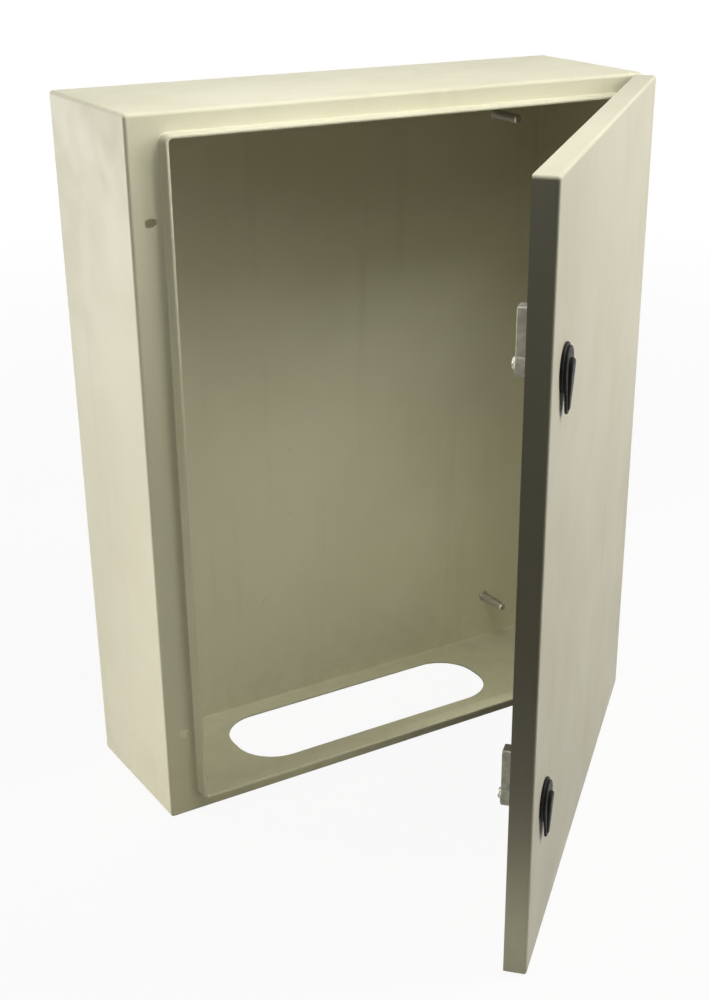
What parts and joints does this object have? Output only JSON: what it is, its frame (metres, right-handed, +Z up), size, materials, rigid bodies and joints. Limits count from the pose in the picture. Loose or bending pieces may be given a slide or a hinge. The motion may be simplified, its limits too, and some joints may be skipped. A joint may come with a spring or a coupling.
{
  "type": "electrical enclosure",
  "caption": "Wall-mounted folded sheet-steel electrical enclosure with a rain lip, a side-hinged door on quarter-turn locks and an open gland slot in its base.",
  "frame": {"origin": "middle of the wall face, at the centre of the wall fixing holes", "axes": "+X to the right as seen from the front, +Y into the wall, +Z up"},
  "size_m": [0.4909, 0.4883, 0.6],
  "materials": {
    "cream_paint": "fine-texture cream powder coat",
    "zinc_fastener": "zinc-plated",
    "hinge_steel": "zinc-plated, dull",
    "lock_zinc": "dull plated zinc casting",
    "handle_black": "satin black",
    "seal_rubber": "matt",
    "gasket_foam": "closed-cell foam"
  },
  "bodies": {
    "cabinet": {"cabinet_shell": "cream_paint", "mounting_studs": "zinc_fastener", "upper_cabinet_leaf": "hinge_steel", "lower_cabinet_leaf": "hinge_steel", "hinge_bolts": "zinc_fastener", "hinge_washers": "zinc_fastener", "hinge_nuts": "zinc_fastener"},
    "door": {"door_panel": "cream_paint", "door_gasket": "gasket_foam", "door_leaf_nuts": "zinc_fastener", "upper_door_leaf": "hinge_steel", "upper_hinge_pin": "zinc_fastener", "upper_lock_housing": "handle_black", "upper_lock_seal": "seal_rubber", "upper_lock_nut": "lock_zinc", "lower_door_leaf": "hinge_steel", "lower_hinge_pin": "zinc_fastener", "lower_lock_housing": "handle_black", "lower_lock_seal": "seal_rubber", "lower_lock_nut": "lock_zinc"},
    "upper_lock": {"upper_lock_handle": "handle_black", "upper_lock_cam": "lock_zinc", "upper_cam_screw": "zinc_fastener"},
    "lower_lock": {"lower_lock_handle": "handle_black", "lower_lock_cam": "lock_zinc", "lower_cam_screw": "zinc_fastener"}
  },
  "joints": [
    {"name": "door_hinge", "type": "hinge", "parent": "cabinet", "child": "door", "pos_m": [0.236, -0.1595, 0], "axis": [0, 0, 1], "range_deg": [-42.5, 77.5]},
    {"name": "upper_lock_turn", "type": "hinge", "parent": "door", "child": "upper_lock", "pos_m": [-0.08039, -0.45959, 0.1675], "axis": [0.6756, -0.7373, 0], "range_deg": [0, 90]},
    {"name": "lower_lock_turn", "type": "hinge", "parent": "door", "child": "lower_lock", "pos_m": [-0.08039, -0.45959, -0.1675], "axis": [0.6756, -0.7373, 0], "range_deg": [0, 90]}
  ]
}
